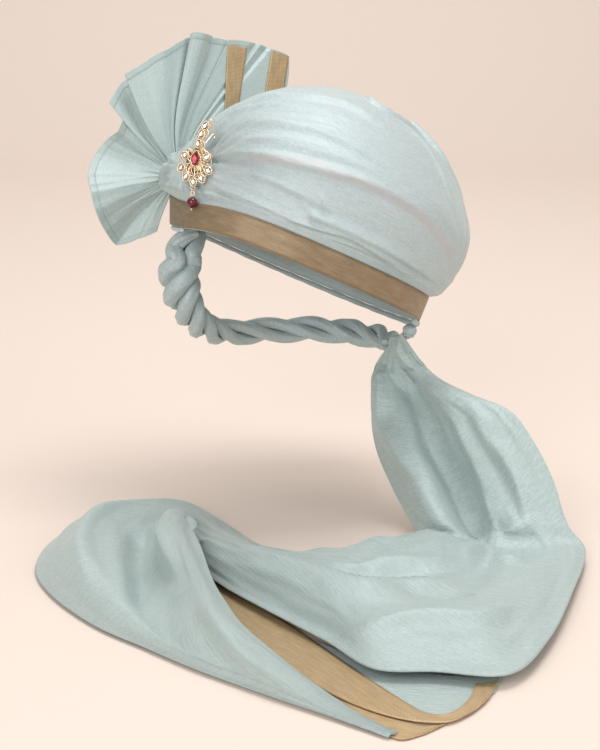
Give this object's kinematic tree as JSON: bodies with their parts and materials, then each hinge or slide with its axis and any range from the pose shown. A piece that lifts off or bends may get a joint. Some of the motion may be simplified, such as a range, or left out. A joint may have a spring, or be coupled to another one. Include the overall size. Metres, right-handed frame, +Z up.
{
  "type": "turban",
  "caption": "Tied turban of pale mint tissue with a zari brow band, a pleated side fan, a jewelled brooch with a red drop, a twisted nape roll and a long tail",
  "frame": {"origin": "centre of the brow opening, in the plane of the brow band's lower edge", "axes": "+Z up as worn, the wearer faces -Y, the wearer's left (the tail's side) is +X"},
  "size_m": [0.434, 0.5169, 0.3624],
  "materials": {
    "mint_tissue": "tissue silk with a soft sheen",
    "mint_tissue_sheer": "thin tissue silk, slightly sheer",
    "gold_zari": "woven dull gold zari",
    "gold_metal": "polished gilt",
    "clear_crystal": "cut and polished",
    "red_crystal": "cut and polished"
  },
  "bodies": {
    "root": {"crown_wrap": "mint_tissue", "zari_brow_band": "gold_zari", "rolled_edge": "mint_tissue", "side_knot": "mint_tissue", "side_fan": "mint_tissue_sheer", "fan_zari_bar_front": "gold_zari", "fan_zari_bar_back": "gold_zari", "nape_strand_1": "mint_tissue", "nape_strand_2": "mint_tissue", "nape_strand_3": "mint_tissue", "tail_knot": "mint_tissue", "tail_cloth": "mint_tissue", "tail_under_fold": "mint_tissue", "tail_zari_upper": "gold_zari", "tail_zari_lower": "gold_zari", "brooch_frame": "gold_metal", "brooch_pin": "gold_metal", "red_pear_stone": "red_crystal", "clear_stone_1": "clear_crystal", "clear_stone_2": "clear_crystal", "clear_stone_3": "clear_crystal", "clear_stone_4": "clear_crystal", "clear_stone_5": "clear_crystal", "clear_stone_6": "clear_crystal", "clear_stone_7": "clear_crystal", "clear_stone_8": "clear_crystal", "clear_stone_9": "clear_crystal", "clear_stone_10": "clear_crystal", "jump_ring": "gold_metal", "drop_cap": "gold_metal", "red_bead": "red_crystal", "drop_tip": "gold_metal"}
  },
  "joints": []
}
